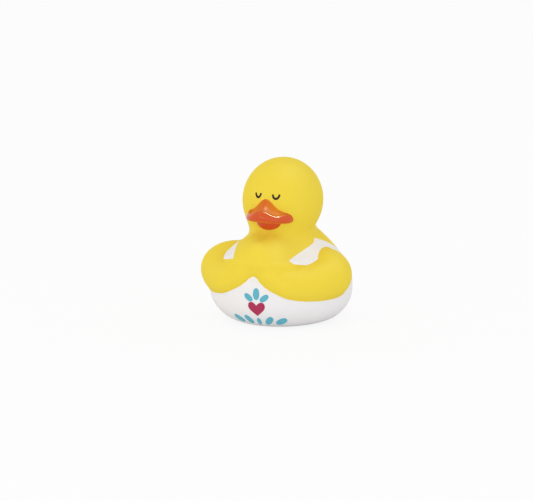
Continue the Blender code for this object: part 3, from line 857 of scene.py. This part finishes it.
@dataclass(frozen=True)
class Bill:
    """The bill: an upper one with a rolled lip that swells at the tip, and a bowl under it.

    A share is of the lip's reach from the bill's middle. A corner of the hollow is shares of the
    way from root to lip, of the rise between them, of the dip and of the fill at the sides. A
    corner of the lip is its share, its height as a share of the lip's thickness, and its fill.
    paint_corners counts corners round the section, and paint_levels is the paint's level there;
    on the top face it also sets the share of the painted reflection in amber.
    """

    form: DuckForm
    side: float = 0.55
    centre_y: float = -14.5
    half_width: float = 11.25
    reach: float = 12.8
    pointedness: float = 0.1
    widest_turn: float = 104.0
    stations: int = 160
    section_steps: int = 9
    hollow: float = 1.1
    tilt: float = 0.025
    flank_height: float = 55.2
    flank_arch: float = 1.7
    ridge_rise: float = 5.4
    ridge_half: float = 4.9
    ridge_power: float = 2.1
    crest_side: float = 54.0
    swell_rise: float = 3.45
    swell_side: float = 0.4
    swell_half: float = 5.9
    swell_power: float = 2.4
    low_middle: float = 52.0
    low_drop: float = 1.1
    corner_rise: float = 0.8
    corner_power: int = 20
    inner_share: float = 0.12
    inner_drop: float = 1.6
    deepest_root: float = 0.86
    hollow_middle: float = 0.35
    side_power: int = 5
    hollow_corners: tuple[Row, ...] = ((0.40, 0.55, 0.8, 0.3), (0.78, 0.86, 1.0, 0.7))
    lip_corners: tuple[Row, ...] = (
        (0.915, 0.96, 0.8),
        (0.958, 1.00, 0.4),
        (1.008, 0.88, 0.05),
        (1.042, 0.64, 0.0),
        (1.052, 0.38, 0.0),
        (1.020, 0.12, 0.0),
        (0.950, 0.00, 0.0),
        (0.760, 0.03, 0.0),
        (0.400, 0.06, 0.0),
        (0.120, 0.11, 0.0),
    )
    paint_corners: Row = (0.0, 2.0, 3.0, 4.0, 5.0, 5.6, 6.1, 9.2, 10.2, 11.0, 12.0)
    paint_levels: Row = (0.9, 0.9, 0.85, 0.95, 1.0, 0.7, -0.1, -0.3, 0.4, 1.2, 2.0)
    paint_top_end: float = 9.2
    paint_middle: float = 0.25
    paint_side_power: int = 12
    lower_centre: Row = (0.8, -15.6, 51.2)
    lower_half: Row = (6.6, 6.4, 4.8)
    lower_rows: int = 48
    lower_columns: int = 96
    lower_latitude: float = 88.0
    underside: Row = (0.0, 0.6, -0.8)
    underside_ends: Row = (0.55, 0.85)
    underside_levels: Row = (-0.6, 2.0)

    def root_height(self, x: np.ndarray) -> np.ndarray:
        """Gives the height where the bill leaves the head: a low arch with a peak on its middle."""
        arch = self.flank_height + self.flank_arch * (1.0 - (x / self.half_width) ** 2)
        ridge = self.ridge_rise * np.exp(-((np.abs(x) / self.ridge_half) ** self.ridge_power))
        return arch + ridge - self.tilt * x

    def crest_height(self, x: np.ndarray) -> np.ndarray:
        """Gives the height of the lip's crest, level at the sides and swelling at the tip."""
        away = np.abs(x - self.swell_side) / self.swell_half
        swell = self.swell_rise * np.exp(-(away**self.swell_power))
        return self.crest_side + swell - self.tilt * x

    def low_height(self, x: np.ndarray) -> np.ndarray:
        """Gives the height of the upper bill's underside."""
        return self.low_middle - self.low_drop * (x / self.half_width) ** 2 - self.tilt * x

    def plan(self, turn: np.ndarray, share: np.ndarray) -> tuple[np.ndarray, np.ndarray]:
        """Gives x and y at a share of the lip's reach, at a turn about the bill's middle."""
        across = np.sin(turn) * np.abs(np.sin(turn)) ** self.pointedness
        ahead = np.cos(turn) * np.abs(np.cos(turn)) ** self.pointedness
        return self.half_width * share * across, self.centre_y - self.reach * share * ahead

    def root_share(self, turn: np.ndarray) -> np.ndarray:
        """Finds where each section comes out of the head, by halving between middle and lip.

        Args:
            turn: the sections' turns, in radians.

        Returns:
            The share of the lip's reach at the head's skin.
        """
        near, far = np.zeros_like(turn), np.ones_like(turn)
        for _ in range(HALVINGS):
            middle = (near + far) / 2.0
            x, y = self.plan(turn, middle)
            inside = y > self.form.head_front(x + self.side, self.root_height(x))
            near = np.where(inside, middle, near)
            far = np.where(inside, far, middle)
        return np.minimum(near, self.deepest_root)

    def corners(self, turn: np.ndarray) -> np.ndarray:
        """Gives each section's corner points, from inside the head over the lip and back.

        Args:
            turn: the sections' turns, in radians.

        Returns:
            The points, as sections, corners and x, y, z.
        """
        root = self.root_share(turn)
        root_z = self.root_height(self.plan(turn, root)[0])
        lip_x = self.plan(turn, np.ones_like(turn))[0]
        side = np.abs(np.sin(turn))
        corner = np.sin(np.minimum(np.abs(turn), math.pi / 2.0)) ** self.corner_power
        crest = self.crest_height(lip_x) + self.corner_rise * corner
        low = self.low_height(lip_x)
        thick = crest - low
        end = side**self.side_power
        deep = self.hollow_middle + (1.0 - self.hollow_middle) * side
        dip = self.hollow * deep * (1.0 - end)
        fill = end * np.maximum(root_z - crest, 0.0)
        rows = [
            (np.full_like(root, self.inner_share), root_z - self.inner_drop),
            (root / 2.0, root_z),
            (root, root_z),
        ]
        for way, climb, dipped, filled in self.hollow_corners:
            height = root_z + climb * (crest - root_z) - dipped * dip + filled * fill
            rows.append((root + way * (self.lip_corners[0][0] - root), height))
        for share, rise, filled in self.lip_corners:
            rows.append((np.full_like(root, share), low + rise * thick + filled * fill))
        places = []
        for share, height in rows:
            x, y = self.plan(turn, share)
            places.append(np.stack([x + self.side, y, height], axis=-1))
        return np.stack(places, axis=1)

    def build_upper(self, finish: bpy.types.Material) -> bpy.types.Object:
        """Builds the upper bill as sections that fan out about its middle.

        The paint's level is read round each section. On top, where it also sets the share of the
        painted reflection, it is less towards the bill's middle and fades out at its corners.

        Args:
            finish: its material.

        Returns:
            The piece.
        """
        turn = np.radians(np.linspace(-self.widest_turn, self.widest_turn, self.stations))
        rings = smooth_through(self.corners(turn), self.section_steps, closed=True)
        mesh = closed_skin(
            self.form.to_frame(rings),
            self.form.to_frame(rings[0].mean(axis=0)),
            self.form.to_frame(rings[-1].mean(axis=0)),
        )
        corner = np.arange(rings.shape[1]) / self.section_steps
        depth = np.interp(corner, self.paint_corners, self.paint_levels)
        side = np.abs(np.sin(turn))[:, None]
        share = self.paint_middle + (1.0 - self.paint_middle) * side
        share = share * (1.0 - side**self.paint_side_power)
        # on top, the level's amber range is a painted reflection, less at the middle and gone at the
        # corners
        depth = np.where(corner < self.paint_top_end, depth * share, depth)
        point_values(mesh, "paint_and_reflection", np.append(depth.ravel(), [0.0, 0.0]))
        return show("upper_bill", mesh, finish)

    def build_lower(self, finish: bpy.types.Material) -> bpy.types.Object:
        """Builds the lower bill: an ellipsoid, whose paint ends where it faces down and back.

        Args:
            finish: its material.

        Returns:
            The piece.
        """
        ends = (-self.lower_latitude, self.lower_latitude)
        rise = np.radians(np.linspace(*ends, self.lower_rows))[:, None]
        turn = (np.arange(self.lower_columns) * 2.0 * math.pi / self.lower_columns)[None, :]
        flat = np.cos(rise)
        ring = np.stack([flat * np.sin(turn), -flat * np.cos(turn), np.sin(rise) + 0.0 * turn], axis=-1)
        rings = np.array(self.lower_centre) + ring * np.array(self.lower_half)
        lift = np.array([0.0, 0.0, self.lower_half[2]])
        mesh = closed_skin(
            self.form.to_frame(rings),
            self.form.to_frame(np.array(self.lower_centre) - lift),
            self.form.to_frame(np.array(self.lower_centre) + lift),
        )
        ways = np.concatenate([ring.reshape(-1, 3), [(0.0, 0.0, -1.0), (0.0, 0.0, 1.0)]])
        underneath = ways @ np.array(self.underside)
        depth = np.interp(underneath, self.underside_ends, self.underside_levels)
        point_values(mesh, "paint_and_reflection", depth)
        return show("lower_bill", mesh, finish)


class Side(Enum):
    """The duck's own sides."""

    LEFT = 1.0
    RIGHT = -1.0


@dataclass(frozen=True)
class Eyes:
    """Closed eyes: a printed line that hangs in a U, thickest at the bottom."""

    form: DuckForm
    middle_x: float = 0.65
    spacing: float = 4.6
    top_z: float = 65.0
    depth: float = 2.15
    half_width: float = 1.5
    lower_left: float = 0.25
    left_bend: float = 0.85
    right_bend: float = 1.3
    line_half: float = 0.48
    swell: float = 0.08
    proud: float = 0.10
    lift: float = 0.02
    end_share: float = 0.02
    thinnest: float = 0.0004
    places: int = 61
    around: int = 20

    def build(self, side: Side, finish: bpy.types.Material) -> bpy.types.Object:
        """Builds one eye as a flat round line laid on the head's ellipsoid.

        The line's middle is half an ellipse in x and z. Its width swells towards the bottom and
        rounds off at both ends.

        Args:
            side: which eye.
            finish: its ink.

        Returns:
            The piece.
        """
        s = np.linspace(0.0, 1.0, self.places)
        share = self.end_share + (1.0 - 2.0 * self.end_share) * s
        angle = math.pi * (0.5 - 0.5 * np.cos(math.pi * share))
        x = self.middle_x + side.value * self.spacing + self.half_width * np.cos(angle)
        bend = self.left_bend if side is Side.LEFT else self.right_bend
        z = self.top_z - self.depth * np.sin(angle) ** bend
        z -= self.lower_left if side is Side.LEFT else 0.0
        y = self.form.head_front(x, z)
        middle = np.stack([x, y, z], axis=-1)
        away = (middle - np.array(self.form.head_centre)) / np.array(self.form.head_half) ** 2
        away /= np.linalg.norm(away, axis=-1, keepdims=True)
        along = np.gradient(middle, axis=0)
        along /= np.linalg.norm(along, axis=-1, keepdims=True)
        across = np.cross(along, away)
        run = np.concatenate([[0.0], np.cumsum(np.linalg.norm(np.diff(middle, axis=0), axis=-1))])
        end = np.minimum(run, run[-1] - run)
        half = self.line_half + self.swell * np.sin(angle) ** 2
        inward = 1.0 - np.clip(end / half, 0.0, 1.0)
        taper = np.sqrt(np.clip(1.0 - inward**2, self.thinnest, 1.0))
        turn = np.arange(self.around) * 2.0 * math.pi / self.around
        wide = (half * taper)[:, None, None] * np.cos(turn)[None, :, None] * across[:, None, :]
        thick = (self.proud * taper)[:, None, None] * np.sin(turn)[None, :, None] * away[:, None, :]
        rings = middle[:, None, :] + wide + thick + self.lift * away[:, None, :]
        mesh = closed_skin(
            self.form.to_frame(rings),
            self.form.to_frame(rings[0].mean(axis=0)),
            self.form.to_frame(rings[-1].mean(axis=0)),
        )
        return show(f"eye_{side.name.lower()}", mesh, finish)


class Mark(Enum):
    """The shapes that the print is made of."""

    HEART = "heart"
    LEAF = "leaf"


@dataclass(frozen=True)
class Print:
    """One printed mark on the belly: a thin patch of ink that follows the skin.

    Sizes are millimetres, and turn and lean are degrees. rim and bead are the ink's height at the
    mark's edge and just within it, as shares of its full height.
    """

    mark: Mark
    height: float
    turn: float
    lean: float = 0.0
    length: float = 6.0
    slenderness: float = 0.28
    leaf_power: float = 0.8
    heart_size: tuple[float, float] = (4.3, 7.2)
    heart_power: float = 1.1
    heart_waves: Row = (13.0, -5.0, -2.0, -1.0)
    heart_span: float = 29.0
    heart_lift: float = 0.09
    proud: float = 0.12
    sunk: float = 0.25
    rim: float = 0.3
    bead: float = 0.8
    first_ring: float = 0.06
    start_radius: float = 15.0
    reach: float = 35.0
    around: int = 96
    rings: int = 14

    def outline(self) -> np.ndarray:
        """Gives the mark's edge across and up, in millimetres, round its middle.

        The heart is the usual curve of cosines with fuller sides; a leaf is an oval drawn to a
        point at both ends.

        Returns:
            The edge's points.
        """
        t = np.arange(self.around) * 2.0 * math.pi / self.around
        if self.mark is Mark.HEART:
            across = np.sin(t) * np.abs(np.sin(t)) ** self.heart_power
            waves = [size * np.cos(order * t) for order, size in enumerate(self.heart_waves, 1)]
            up = np.sum(waves, axis=0) / self.heart_span + self.heart_lift
            return np.stack([across, up], axis=-1) * np.array(self.heart_size)
        along = (1.0 - np.cos(t)) / 2.0
        half = self.slenderness * self.length * np.abs(np.sin(t)) ** self.leaf_power * np.sign(np.sin(t))
        edge = np.stack([half, self.length * along], axis=-1)
        lean = math.radians(self.lean)
        turned = np.array([[math.cos(lean), math.sin(lean)], [-math.sin(lean), math.cos(lean)]])
        return edge @ turned.T

    def surface(self, form: DuckForm) -> bpy.types.Mesh:
        """Lays the mark on the belly.

        The edge is drawn in towards the mark's middle ring by ring, each point is cast along the
        mark's own direction on to the skin, and stands out by the ink's thickness.

        Args:
            form: the duck's form.

        Returns:
            The closed mesh.
        """
        edge = self.outline()
        middle = edge.mean(axis=0)
        share = np.sin(np.linspace(self.first_ring, 0.5, self.rings) * math.pi)
        share = np.concatenate([share, [1.0], share[::-1]])
        top = np.full(self.rings, self.proud)
        top[-1] = self.bead * self.proud
        lift = np.concatenate([top, [self.rim * self.proud], np.full(self.rings, -self.sunk)])
        flat = middle + share[:, None, None] * (edge - middle)
        across = math.radians(self.turn)
        ahead = np.array([math.sin(across), -math.cos(across), 0.0])
        right = np.array([math.cos(across), math.sin(across), 0.0])
        up = np.array([0.0, 0.0, 1.0])
        places = np.concatenate([flat.reshape(-1, 2), [middle]])
        origin = self.start_radius * ahead + self.height * up + places @ np.stack([right, up])
        skin = form.cast(origin, np.broadcast_to(ahead, origin.shape), 0.0, reach=self.reach)
        away = form.normal(skin)
        rings = skin[:-1].reshape(flat.shape[0], -1, 3)
        rings = rings + lift[:, None, None] * away[:-1].reshape(rings.shape)
        first = skin[-1] + self.proud * away[-1]
        last = skin[-1] - self.sunk * away[-1]
        return closed_skin(form.to_frame(rings), form.to_frame(first), form.to_frame(last))


@dataclass(frozen=True)
class BellyPrint:
    """The print: a heart under a sprig of leaves, over a fan of leaves.

    A leaf is its height, its turn round the belly, its lean and its length.
    """

    form: DuckForm
    turn: float = 3.3
    heart_height: float = 10.9
    sprig: tuple[Row, ...] = (
        (15.7, 0.0, 0.0, 5.7),
        (15.1, 3.4, 52.0, 5.0),
        (15.1, -3.4, -52.0, 5.0),
    )
    fan: tuple[Row, ...] = (
        (2.3, 0.0, 0.0, 3.8),
        (2.7, 6.6, 38.0, 5.4),
        (2.7, -6.6, -38.0, 5.4),
        (3.2, 16.0, 62.0, 5.8),
        (3.2, -16.0, -62.0, 5.8),
    )

    def build(self, heart_ink: bpy.types.Material, leaf_ink: bpy.types.Material) -> None:
        """Builds each mark as its own piece.

        Args:
            heart_ink: the heart's material.
            leaf_ink: the leaves' material.
        """
        heart = Print(Mark.HEART, self.heart_height, self.turn)
        show("heart_print", heart.surface(self.form), heart_ink)
        for group, leaves in (("sprig", self.sprig), ("fan", self.fan)):
            for number, (height, turn, lean, length) in enumerate(leaves, 1):
                leaf = Print(Mark.LEAF, height, turn + self.turn, lean, length)
                show(f"{group}_leaf_{number}", leaf.surface(self.form), leaf_ink)


@dataclass(frozen=True)
class Squeaker:
    """The squeaker: a plug turned about its air hole."""

    form: DuckForm
    around: int = 96
    sharp_angle: float = 35.0
    profile: tuple[Row, ...] = (
        (1.2, 0.25),
        (5.85, 0.25),
        (6.0, 0.38),
        (6.0, 0.52),
        (5.87, 0.65),
        (4.0, 0.65),
        (4.0, 2.55),
        (5.2, 2.55),
        (4.3, 6.0),
        (3.2, 6.0),
        (3.2, 1.6),
        (1.2, 1.6),
    )

    def build(self, finish: bpy.types.Material) -> bpy.types.Object:
        """Builds the plug: a profile of radius and height carried round a circle.

        Args:
            finish: its material.

        Returns:
            The piece.
        """
        profile = np.array(self.profile)
        turn = (np.arange(self.around) * 2.0 * math.pi / self.around)[:, None]
        rings = np.stack(
            [
                profile[:, 0] * np.sin(turn),
                -profile[:, 0] * np.cos(turn),
                np.broadcast_to(profile[:, 1], (self.around, len(profile))),
            ],
            axis=-1,
        )
        points = self.form.to_frame(rings.reshape(-1, 3))
        place = np.arange(len(points)).reshape(self.around, len(profile))
        beside, after = np.roll(place, -1, axis=1), np.roll(place, -1, axis=0)
        corner = np.roll(beside, -1, axis=0)
        quads = np.stack([place, beside, corner, after], axis=-1).reshape(-1, 4)
        halves = np.concatenate([quads[:, [0, 1, 2]], quads[:, [0, 2, 3]]])
        if np.linalg.det(points[halves]).sum() < 0.0:
            quads = quads[:, ::-1]
        mesh = bpy.data.meshes.new("squeaker_plug")
        mesh.from_pydata(points, [], quads.tolist())
        mesh.polygons.foreach_set("use_smooth", np.ones(len(quads), bool))
        mesh.set_sharp_from_angle(angle=math.radians(self.sharp_angle))
        piece = show("squeaker_plug", mesh, finish)
        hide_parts("squeaker")
        return piece


# The studio


@dataclass(frozen=True)
class Lamp:
    """A soft rectangular lamp that faces the duck."""

    name: str
    place: Row
    size: tuple[float, float]
    power: float
    gloss_only: bool = False
    colour: Row = (1.0, 1.0, 1.0)
    aim: Row = (0.0, 0.0, 0.04)

    def build(self) -> None:
        """Puts the lamp in the scene, turned to the middle of the duck."""
        light = bpy.data.lights.new(self.name, "AREA")
        light.shape = "RECTANGLE"
        light.size, light.size_y = self.size
        light.energy = self.power
        light.color = self.colour
        lamp = bpy.data.objects.new(self.name, light)
        lamp.location = self.place
        way = Vector(self.aim) - lamp.location
        lamp.rotation_euler = way.to_track_quat("-Z", "Y").to_euler()
        lamp.visible_diffuse = not self.gloss_only
        bpy.context.scene.collection.objects.link(lamp)


@dataclass(frozen=True)
class Studio:
    """Pale floor, soft light and the camera."""

    form: DuckForm
    azimuth: float = 23.75
    elevation: float = 13.73
    distance: float = 0.9
    pixels_per_metre: float = 2000.0
    base_pixel: tuple[float, float] = (281.29, 315.65)
    image: tuple[int, int] = (533, 501)
    floor_half: float = 6.0
    sensor: float = 36.0
    nearest: float = 0.01
    floor_gap: float = 0.00003
    floor_colour: Row = (0.88, 0.88, 0.88, 1.0)
    floor_roughness: float = 0.9
    floor_specular: float = 0.1
    floor_glow: float = 0.86
    white: Row = (1.0, 1.0, 1.0, 1.0)
    world_strength: float = 0.90
    lamps: tuple[Lamp, ...] = (
        Lamp("key", (-0.45, -0.85, 0.60), (0.4, 0.4), 0.85),
        Lamp("front_fill", (0.10, -1.20, 0.10), (0.7, 0.3), 1.6),
        Lamp("right_fill", (1.00, -0.40, 0.25), (0.5, 0.3), 0.9, colour=(0.66, 0.76, 1.0)),
        Lamp("overhead_strip", (0.22, 0.14, 0.70), (0.28, 0.50), 20.0, True, (1.0, 0.92, 0.68)),
        Lamp("left_card", (-0.43, 0.26, 0.62), (0.12, 0.12), 0.1, gloss_only=True),
    )

    def axes(self) -> tuple[Vector, Vector, Vector]:
        """Gives the view's right, up and back directions."""
        a, e = math.radians(self.azimuth), math.radians(self.elevation)
        right = Vector((math.cos(a), math.sin(a), 0.0))
        back = Vector((math.sin(a) * math.cos(e), -math.cos(a) * math.cos(e), math.sin(e)))
        return right, back.cross(right), back

    def build_camera(self) -> None:
        """Places the camera so that the form's axis meets the floor at the base's pixel."""
        right, up, back = self.axes()
        base = Vector((0.0, -self.form.middle_y * MM, 0.0))
        across = (self.image[0] / 2.0 - self.base_pixel[0]) / self.pixels_per_metre
        rise = (self.base_pixel[1] - self.image[1] / 2.0) / self.pixels_per_metre
        camera = bpy.data.objects.new("camera", bpy.data.cameras.new("camera"))
        camera.data.sensor_width = self.sensor
        camera.data.lens = self.sensor * self.distance * self.pixels_per_metre / self.image[0]
        camera.data.clip_start = self.nearest
        place = base + back * self.distance
        aim = (base + right * across + up * rise - place).normalized()
        side = aim.cross(up).normalized()
        turned = Matrix((side, side.cross(aim), -aim)).transposed().to_4x4()
        turned.translation = place
        camera.matrix_world = turned
        bpy.context.scene.collection.objects.link(camera)
        bpy.context.scene.camera = camera

    def build_floor(self) -> None:
        """Lays a wide pale floor that keeps the duck's shadow and shows white to the eye."""
        mesh = bpy.data.meshes.new("floor")
        corners = [(-1, -1), (1, -1), (1, 1), (-1, 1)]
        points = [(x * self.floor_half, y * self.floor_half, -self.floor_gap) for x, y in corners]
        mesh.from_pydata(points, [], [(0, 1, 2, 3)])
        floor = bpy.data.objects.new("floor", mesh)
        bpy.context.scene.collection.objects.link(floor)
        n = Nodes("pale_floor")
        n.set_input("Base Color", self.floor_colour)
        n.set_input("Roughness", self.floor_roughness)
        n.set_input("Specular IOR Level", self.floor_specular)
        glow = n.add("Emission", Color=self.white, Strength=1.0)
        mixer = n.add("MixShader", Fac=n.scaled(self.seen(n.tree), self.floor_glow))
        n.put(mixer.inputs[1], n.shader.outputs[0])
        n.put(mixer.inputs[2], glow.outputs[0])
        n.put(n.tree.nodes["Material Output"].inputs[0], mixer.outputs[0])
        mesh.materials.append(n.material)

    @staticmethod
    def seen(tree: bpy.types.NodeTree) -> bpy.types.NodeSocket:
        """Gives 1 for what is seen straight, in a reflection or through glass, and else 0.

        Args:
            tree: the nodes of a material or the world.

        Returns:
            The result's socket.
        """
        path = tree.nodes.new("ShaderNodeLightPath")
        seen = path.outputs["Is Camera Ray"]
        for ray in ("Is Glossy Ray", "Is Transmission Ray"):
            either = tree.nodes.new("ShaderNodeMath")
            either.operation = "MAXIMUM"
            tree.links.new(seen, either.inputs[0])
            tree.links.new(path.outputs[ray], either.inputs[1])
            seen = either.outputs[0]
        return seen

    def build_world(self) -> None:
        """Lights the duck evenly from all round."""
        world = bpy.data.worlds.new("studio")
        world.use_nodes = True
        tree = world.node_tree
        plain = tree.nodes["Background"]
        plain.inputs["Color"].default_value = self.white
        plain.inputs["Strength"].default_value = self.world_strength
        bright = tree.nodes.new("ShaderNodeBackground")
        bright.inputs["Color"].default_value = self.white
        bright.inputs["Strength"].default_value = 1.0
        mixer = tree.nodes.new("ShaderNodeMixShader")
        tree.links.new(self.seen(tree), mixer.inputs[0])
        tree.links.new(plain.outputs[0], mixer.inputs[1])
        tree.links.new(bright.outputs[0], mixer.inputs[2])
        tree.links.new(mixer.outputs[0], tree.nodes["World Output"].inputs[0])
        bpy.context.scene.world = world

    def build(self) -> None:
        """Builds camera, floor, world and lamps."""
        self.build_camera()
        self.build_floor()
        self.build_world()
        for lamp in self.lamps:
            lamp.build()
        bpy.context.scene.view_settings.view_transform = "Standard"


def main() -> None:
    """Builds the duck's pieces in order, then the studio round them."""
    logging.basicConfig(level=logging.INFO, format="%(name)s: %(message)s")
    for obj in list(bpy.data.objects):
        bpy.data.objects.remove(obj)
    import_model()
    form = DuckForm()
    Shell(form).build(VinylFinish().make())
    lacquer = LacquerFinish().make()
    bill = Bill(form)
    bill.build_upper(lacquer)
    bill.build_lower(lacquer)
    eye_ink = EYE_INK.make()
    for side in Side:
        Eyes(form).build(side, eye_ink)
    leaf_ink, heart_ink = LEAF_INK.make(), HEART_INK.make()
    BellyPrint(form).build(heart_ink, leaf_ink)
    Squeaker(form).build(PlugFinish().make())
    Studio(form).build()


if __name__ == "__main__":
    main()
